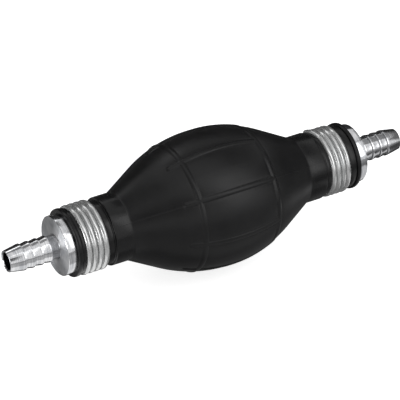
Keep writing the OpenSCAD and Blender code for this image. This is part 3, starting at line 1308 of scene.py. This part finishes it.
@dataclass
class HoseTail:
    """The turned aluminium fitting at one end: barbs, root, flange, spigot and chamber.

    Attributes:
        end: The end of the pump.
        tip_a: Distance of the tip from the middle.
        tip_r: Outer radius of the tip.
        mouth: Chamfer of the bore at the tip.
        crest_a: Distance of the first barb's back face.
        crest_r: Radius of the barbs' crests.
        valley_r: Radius behind each barb.
        barb_count: Number of barbs.
        barb_pitch: Step from barb to barb.
        land: Width of each crest's land.
        crest_edge: Rounding between a crest's land and its slope.
        root_r: Radius of the plain root.
        flange_a: First and last distance of the flange.
        flange_r: Radius of the flange.
        rim: Rounding of the flange's rim and of the spigot's inner end.
        spigot_a: Distance of the spigot's inner end.
        spigot_r: Radius of the spigot.
        bore_r: Radius of the flow bore.
        chamber_a: Distance of the valve chamber's floor.
        chamber_r: Radius of the valve chamber.
        snap_a: First and last distance of the snap ring's groove.
        snap_r: Radius of that groove.
        grip_a: Distance of the first grip groove's middle.
        grip_pitch: Step from groove to groove.
        grip_count: Number of grip grooves.
        grip_w: Width of a groove.
        grip_h: Depth of a groove.
    """

    end: End
    tip_a: float = 79.0 * MM
    tip_r: float = 3.9 * MM
    mouth: float = 0.4 * MM
    crest_a: float = 73.2 * MM
    crest_r: float = 4.8 * MM
    valley_r: float = 4.3 * MM
    barb_count: int = 4
    barb_pitch: float = 3.25 * MM
    land: float = 0.5 * MM
    crest_edge: float = 0.2 * MM
    root_r: float = 4.3 * MM
    flange_a: Span = (NeckDressing.gasket_a[1], 60.35 * MM)
    flange_r: float = 10.8 * MM
    rim: float = 0.3 * MM
    spigot_a: float = 34.3 * MM
    spigot_r: float = 8.0 * MM
    bore_r: float = 3.1 * MM
    chamber_a: float = 48.8 * MM
    chamber_r: float = 5.8 * MM
    snap_a: Span = (35.25 * MM, 36.25 * MM)
    snap_r: float = 6.4 * MM
    grip_a: float = 46.675 * MM
    grip_pitch: float = 2.6 * MM
    grip_count: int = 3
    grip_w: float = 1.4 * MM
    grip_h: float = 0.5 * MM

    def barbs(self) -> list[Corner]:
        """Draw the outline of the barbs.

        Returns:
            Its corners, from the long first barb at the tip to the last.
        """
        corners = []
        for k in range(self.barb_count):
            back = self.crest_a - k * self.barb_pitch
            behind = self.valley_r if k < self.barb_count - 1 else self.root_r
            corners += [
                Corner(back + self.land, self.crest_r, self.crest_edge),
                Corner(back, self.crest_r, FINE_EDGE),
                Corner(back, behind, FINE_EDGE),
            ]
        return corners

    def grips(self) -> list[Corner]:
        """Draw the outline of the spigot's grip grooves.

        Returns:
            Its corners, from the flange inwards.
        """
        low = self.spigot_r - self.grip_h
        corners = []
        for k in reversed(range(self.grip_count)):
            middle = self.grip_a + k * self.grip_pitch
            near, far = middle - self.grip_w / 2, middle + self.grip_w / 2
            corners += [Corner(far, self.spigot_r), Corner(far, low)]
            corners += [Corner(near, low), Corner(near, self.spigot_r)]
        return corners

    def section(self) -> list[Corner]:
        """Draw the closed section.

        Returns:
            Its corners, from the bore's mouth out along the barbs and back inside.
        """
        first_snap, last_snap = self.snap_a
        return [
            Corner(self.tip_a - self.mouth, self.bore_r, FINE_EDGE),
            Corner(self.tip_a, self.bore_r + self.mouth, fillet=0.05 * MM),
            Corner(self.tip_a, self.tip_r, fillet=0.12 * MM),
            *self.barbs(),
            Corner(self.flange_a[1], self.root_r, fillet=0.25 * MM),
            Corner(self.flange_a[1], self.flange_r, self.rim),
            Corner(self.flange_a[0], self.flange_r, self.rim),
            Corner(self.flange_a[0], self.spigot_r, FINE_EDGE),
            *self.grips(),
            Corner(self.spigot_a, self.spigot_r, self.rim),
            Corner(self.spigot_a, self.chamber_r, fillet=0.2 * MM),
            Corner(first_snap, self.chamber_r),
            Corner(first_snap, self.snap_r),
            Corner(last_snap, self.snap_r),
            Corner(last_snap, self.chamber_r),
            Corner(self.chamber_a, self.chamber_r),
            Corner(self.chamber_a, self.bore_r),
        ]

    def build(self) -> Piece:
        """Turn the fitting.

        Returns:
            The fitting.
        """
        corners = [replace(c, place=self.end.place(c.place)) for c in self.section()]
        return turned(self.end.node("hose_tail"), corners, steps=128, crease=25)


# ------------------------------------------------------------------------ valves


@dataclass
class Valve:
    """The soft and springy parts of one valve; its turned parts are the frame's own.

    Attributes:
        end: The end of the pump.
        stack: Length of the stack, from the seat insert's first face to the guide's last.
        ring_x: X of the seat insert's O-ring, from the stack's first face.
        ring_coil_r: Radius of the O-ring's centre line.
        ring_r: Radius of the O-ring's section.
        ring_sides: Sides of that section.
        flash: Height of the flash line of the O-ring's mould.
        washer_x: First and last X of the poppet's washer, from the stack's first face.
        washer_r: Inner and outer radius of the washer.
        washer_soft: Rounding of the washer's rim.
        spring_x: X of the closed spring's ends, from the stack's first face.
        spring_r: Radius of the spring's centre line.
        spring_wire_d: Diameter of the spring's wire.
        coils: Number of coils, with the closed ones at both ends.
        closed: Coils closed up at each end.
        tight: Step of a closed coil, as a share of the wire's diameter.
        lift: How far the valve opens.
    """

    end: End
    stack: float = 12.6 * MM
    ring_x: float = 1.3 * MM
    ring_coil_r: float = 5.29 * MM
    ring_r: float = 0.48 * MM
    ring_sides: int = 20
    flash: float = 0.02 * MM
    washer_x: Span = (3.0 * MM, 4.2 * MM)
    washer_r: Span = (1.55 * MM, 4.6 * MM)
    washer_soft: float = 0.15 * MM
    spring_x: Span = (5.6 * MM, 11.2 * MM)
    spring_r: float = 4.3 * MM
    spring_wire_d: float = 0.5 * MM
    coils: float = 5.0
    closed: float = 0.8
    tight: float = 1.02
    lift: float = 1.6 * MM

    @property
    def first_x(self) -> float:
        """X of the stack's first face; the stack lies on the floor of the fitting's chamber."""
        return -HoseTail.chamber_a if self.end is End.INLET else HoseTail.chamber_a - self.stack

    def seat_ring(self) -> Piece:
        """Turn the O-ring, with the fine flash line of its mould inside and outside.

        Returns:
            The O-ring.
        """
        middle = Vector((self.first_x + self.ring_x, self.ring_coil_r))
        half_way, quarter = self.ring_sides // 2, self.ring_sides // 4
        section = []
        for k in range(self.ring_sides):
            turn = math.tau * k / self.ring_sides
            reach = self.ring_r + (self.flash if k % half_way == quarter else 0.0)
            section.append(middle + reach * Vector((math.cos(turn), math.sin(turn))))
        piece = spun(self.end.node("seat_ring"), section, [Sweep(360, 96)])
        Bench.smooth(piece, 50)
        return piece

    def washer(self) -> Piece:
        """Turn the poppet's rubber washer.

        Returns:
            The washer.
        """
        first, last = (self.first_x + x for x in self.washer_x)
        inner, outer = self.washer_r
        corners = [
            Corner(first, inner, FINE_EDGE),
            Corner(last, inner, FINE_EDGE),
            Corner(last, outer, self.washer_soft),
            Corner(first, outer, self.washer_soft),
        ]
        return turned(self.end.node("washer"), corners, steps=96, crease=35)

    def spring_route(self, angle: float) -> Span:
        """Find where the spring runs: closed coils, open coils, closed coils.

        Args:
            angle: Angle counted on through every turn.

        Returns:
            The X of the centre line, and no lift.
        """
        turn = angle / 360
        first, last = (self.first_x + x for x in self.spring_x)
        step = self.spring_wire_d * self.tight
        rise = last - first - self.spring_wire_d - 2 * self.closed * step
        run = step * (min(turn, self.closed) + max(turn - self.coils + self.closed, 0.0))
        share = held((turn - self.closed) / (self.coils - 2 * self.closed))
        return first + self.spring_wire_d / 2 + run + rise * share, 0.0

    def spring(self) -> Piece:
        """Wind the return spring.

        Returns:
            The closed spring.
        """
        winding = Winding(
            self.spring_r, self.spring_wire_d, 0.0, self.coils, self.spring_route, sides=12, steps=48
        )
        return winding.build(self.end.node("return_spring"), chamfer=0.06 * MM)

    def build(self, paint: PaintBench) -> None:
        """Make the valve's soft and springy parts, and give the spring a mesh of its own.

        Args:
            paint: The bench that coats them.
        """
        ring, washer, spring = self.seat_ring(), self.washer(), self.spring()
        paint.done(ring, self.end.node("seat_seal"), Finish.SEAL_RUBBER, Body.ROOT)
        paint.done(washer, self.end.node("poppet_seal"), Finish.SEAL_RUBBER, Body.valve(self.end))
        paint.done(spring, self.end.node("valve_spring"), Finish.SPRING_STEEL, Body.ROOT)
        joint = self.end.node("valve_lift")
        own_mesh(spring)


# ------------------------------------------------------------------------ studio


@dataclass(frozen=True)
class Card:
    """A plain card that only reflections show, to shape them on the bright metal.

    Attributes:
        name: Name of the card.
        place: Middle of the card.
        size: Width and height.
        aim: Point that the card faces.
        shade: Its brightness.
    """

    name: str
    place: Place
    size: Span
    aim: Place
    shade: float

    def build(self) -> None:
        """Stand the card up and hide it from all rays but reflections."""
        bpy.ops.mesh.primitive_plane_add(size=1)
        card = Bench.rename(bpy.context.object, self.name)
        card.scale = (*self.size, 1)
        card.location = self.place
        towards = Vector(self.aim) - Vector(self.place)
        card.rotation_euler = towards.to_track_quat("Z", "Y").to_euler()
        board = NodeBoard.of_material(self.name)
        board.show(board.by_name(board.add("Emission"), Strength=self.shade))
        card.data.materials.append(board.owner)
        card.visible_camera = card.visible_diffuse = False
        card.visible_transmission = card.visible_shadow = False


@dataclass(frozen=True)
class Studio:
    """Pale floor, soft lamps, cards, a plain white surround and the camera.

    Attributes:
        azimuth: Camera's angle round the pump, in degrees.
        elevation: Camera's angle above the horizon, in degrees.
        distance: Camera's distance from the middle of the pump.
        roll: Camera's turn about its line of sight, in degrees.
        focal_px: Focal length in pixels of the frame.
        frame_px: Side of the square frame in pixels.
        middle_px: Pixel on which the middle of the pump lies.
        sensor: Camera's sensor width in millimetres.
        clip: Nearest and furthest distance that the camera sees.
        floor_z: Height of the floor.
        floor_w: Width of the square floor.
        floor_colour: Colour of the floor.
        floor_lift: What is added to the floor where it is seen, so that it is nearly white.
        mat_gap: Height of the mats above the floor.
        daylight: Strength of the surround's light on the object.
    """

    azimuth: float = -29.4
    elevation: float = 33.13
    distance: float = 0.8717
    roll: float = -0.4
    focal_px: float = 2463.0
    frame_px: float = 400.0
    middle_px: Span = (207.6, 198.0)
    sensor: float = 36.0
    clip: Span = (0.01, 20.0)
    floor_z: float = -25.5 * MM
    floor_w: float = 8.0
    floor_colour: Colour = (0.86, 0.86, 0.86)
    floor_lift: float = 0.78
    mat_gap: float = 0.2 * MM
    daylight: float = 0.5

    def back(self) -> Vector:
        """The direction from the pump to the camera."""
        a, e = math.radians(self.azimuth), math.radians(self.elevation)
        return Vector((math.sin(a) * math.cos(e), -math.cos(a) * math.cos(e), math.sin(e)))

    def camera(self) -> None:
        """Put the camera at its place and aim it."""
        back = self.back()
        a, r = math.radians(self.azimuth), math.radians(self.roll)
        level = Vector((math.cos(a), math.sin(a), 0))
        upright = back.cross(level)
        right = level * math.cos(r) + upright * math.sin(r)
        up = back.cross(right)
        aim_x = (self.middle_px[0] - self.frame_px / 2) / self.focal_px
        aim_y = (self.frame_px / 2 - self.middle_px[1]) / self.focal_px
        look = Matrix((right, up, back)).transposed()
        aim = Matrix.Rotation(math.atan(aim_x), 3, up) @ Matrix.Rotation(-math.atan(aim_y), 3, right)
        pose = (aim @ look).to_4x4()
        pose.translation = back * self.distance
        bpy.ops.object.camera_add()
        camera = bpy.context.object
        camera.name = "photographer"
        camera.matrix_world = pose
        camera.data.sensor_width = self.sensor
        camera.data.lens = self.focal_px / self.frame_px * self.sensor
        camera.data.clip_start, camera.data.clip_end = self.clip
        bpy.context.scene.camera = camera

    @staticmethod
    def lamp(name: str, place: Place, size: Span, watts: float) -> None:
        """Hang a softbox and turn it towards the pump.

        Args:
            name: Name of the lamp.
            place: Middle of the lamp.
            size: Its width and height.
            watts: Its power.
        """
        bpy.ops.object.light_add(type="AREA", location=place)
        lamp = bpy.context.object
        lamp.name = name
        lamp.data.shape = "RECTANGLE"
        lamp.data.size, lamp.data.size_y = size
        lamp.data.energy = watts
        lamp.rotation_euler = Vector(place).to_track_quat("Z", "Y").to_euler()

    def lamps(self) -> None:
        """Hang the key, the top and the back softbox."""
        self.lamp("key_softbox", (0.38, -0.66, 0.51), (0.38, 0.84), 1.88)
        self.lamp("top_softbox", (-0.05, -0.1, 0.95), (0.8, 0.7), 1.3)
        self.lamp("back_softbox", (-0.1, 0.8, 0.75), (0.4, 0.4), 0.7)

    def mat(self, name: str, xs: Span, ys: Span, shade: float) -> Card:
        """Lay a card just above the floor.

        Args:
            name: Name of the card.
            xs: Its lowest and highest X.
            ys: Its lowest and highest Y.
            shade: Its brightness.

        Returns:
            The card.
        """
        x, y = sum(xs) / 2, sum(ys) / 2
        place = (x, y, self.floor_z + self.mat_gap)
        return Card(name, place, (xs[1] - xs[0], ys[1] - ys[0]), (x, y, 1.0), shade)

    def cards(self) -> None:
        """Stand cards behind, beside and above the pump, and lay mats round it."""
        shades = [
            Card("back_card", (0.1, 0.62, 0.2), (1.6, 0.56), ORIGIN, 0.035),
            Card("left_card", (-0.75, 0.0, 0.06), (0.7, 0.3), ORIGIN, 7.0),
            Card("left_top_card", (-0.7, 0.1, 0.42), (1.0, 0.42), ORIGIN, 0.14),
            Card("camera_card", (-0.36, -0.63, 0.47), (0.5, 0.42), ORIGIN, 0.08),
            Card("right_card", (0.8, 0.1, 0.25), (1.2, 0.6), ORIGIN, 0.12),
            Card("ceiling_card", (0.0, 0.3, 1.3), (3.0, 1.5), (0.0, 0.3, 0.0), 0.27),
            Card("inlet_roof_card", (-0.034, 0.014, 0.06), (0.02, 0.07), (-0.034, 0.014, 0.0), 0.9),
            Card("outlet_roof_card", (0.085, 0.014, 0.06), (0.024, 0.07), (0.085, 0.014, 0.0), 0.9),
            self.mat("front_mat", (-1.2, 1.2), (-1.0, -0.12), 0.4),
            self.mat("near_left_mat", (-1.2, 0.03), (-0.12, -0.03), 0.55),
            self.mat("near_right_mat", (0.03, 0.066), (-0.12, -0.03), 0.45),
            self.mat("far_right_mat", (0.066, 0.5), (-0.12, -0.06), 0.25),
            self.mat("inlet_mat", (-0.2, -0.042), (-0.03, -0.001), 1.1),
            # Painted shadow: the floor's shadow under the belly, as reflections show it.
            self.mat("belly_shadow_mat", (-0.042, 0.066), (-0.03, -0.001), 0.2),
            self.mat("outlet_mat", (0.066, 0.094), (-0.06, -0.012), 0.8),
            self.mat("flange_mat", (0.066, 0.08), (-0.012, -0.001), 0.8),
            self.mat("tip_mat", (0.094, 1.2), (-0.06, -0.012), 0.08),
            self.mat("under_mat", (0.08, 1.2), (-0.012, -0.001), 0.1),
            # Partly painted shadow: the floor's shadow behind the pump, and a dark studio beyond it.
            self.mat("dark_mat", (-0.066, 1.2), (-0.001, 0.6), 0.05),
            self.mat("left_mat", (-1.2, -0.066), (-0.001, 0.6), 0.34),
        ]
        for card in shades:
            card.build()

    @staticmethod
    def shown_directly(board: NodeBoard) -> Socket:
        """Tell rays that show what they meet from rays that only light the object.

        Args:
            board: The board on which the answer is used.

        Returns:
            1 for rays from the camera and those that metal or glass sends on, and else 0.
        """
        path = board.add("LightPath")
        seen = board.math("MAXIMUM", path.outputs["Is Camera Ray"], path.outputs["Is Glossy Ray"])
        return board.math("MAXIMUM", seen, path.outputs["Is Transmission Ray"])

    def floor(self) -> None:
        """Lay the pale floor, which is seen from above only."""
        bpy.ops.mesh.primitive_plane_add(size=self.floor_w, location=(0, 0, self.floor_z))
        floor = Bench.rename(bpy.context.object, "floor")
        board = NodeBoard.of_material("pale_floor")
        matt = board.by_name(board.add("BsdfDiffuse"), Color=(*self.floor_colour, 1))
        strength = board.math("MULTIPLY", self.shown_directly(board), self.floor_lift)
        lift = board.by_name(board.add("Emission"), Color=WHITE, Strength=strength)
        both = board.in_order(board.add("AddShader"), matt, lift)
        below = board.add("NewGeometry").outputs["Backfacing"]
        clear = board.add("BsdfTransparent").outputs[0]
        board.show(board.in_order(board.add("MixShader"), below, both, clear))
        floor.data.materials.append(board.owner)

    def surround(self) -> None:
        """Fill the world with plain light, white where it is seen."""
        board = NodeBoard.of_world("surround")
        dim = board.by_name(board.add("Background"), Color=WHITE, Strength=self.daylight)
        white = board.by_name(board.add("Background"), Color=WHITE, Strength=1.0)
        seen = self.shown_directly(board)
        board.show(board.in_order(board.add("MixShader"), seen, dim, white))
        bpy.context.scene.world = board.owner

    def build(self) -> None:
        """Set up the whole studio."""
        bpy.context.scene.view_settings.view_transform = "Standard"
        Bench.clear()
        self.floor()
        self.cards()
        self.lamps()
        self.surround()
        self.camera()


# ------------------------------------------------------------------------ assembly


def dress_end(end: End, frame: dict, paint: PaintBench) -> None:
    """Make one end's fitting, gasket, wire clamp and valve.

    Args:
        end: The end of the pump.
        frame: What the frame holds.
        paint: The bench that coats the pieces.
    """
    neck = NeckDressing(end)
    paint.done(HoseTail(end).build(), end.node("fitting"), Finish.ALUMINIUM, Body.ROOT)
    paint.done(neck.wire_clamp(), end.node("wire_clamp"), Finish.ZINC_WIRE, Body.ROOT)
    paint.done(neck.gasket(), end.node("gasket"), Finish.SEAL_RUBBER, Body.ROOT)
    Valve(end).build(paint)
    kept = {
        "valve_seat": Finish.BRASS,
        "poppet": Finish.BRASS,
        "valve_guide": Finish.BRASS,
        "snap_ring": Finish.SPRING_STEEL,
    }
    for part, finish in kept.items():
        paint.repaint(frame["nodes"][end.node(part)], finish)


def main() -> None:
    """Build the pump's looks and the studio round the frame."""
    logging.basicConfig(level=logging.INFO, format="%(name)s: %(message)s")
    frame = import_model()
    Bench.clear()
    paint = PaintBench()
    paint.done(Bulb().build(), "bulb", Finish.BULB_RUBBER, Body.ROOT)
    for end in End:
        dress_end(end, frame, paint)
    Studio().build()


if __name__ == "__main__":
    main()
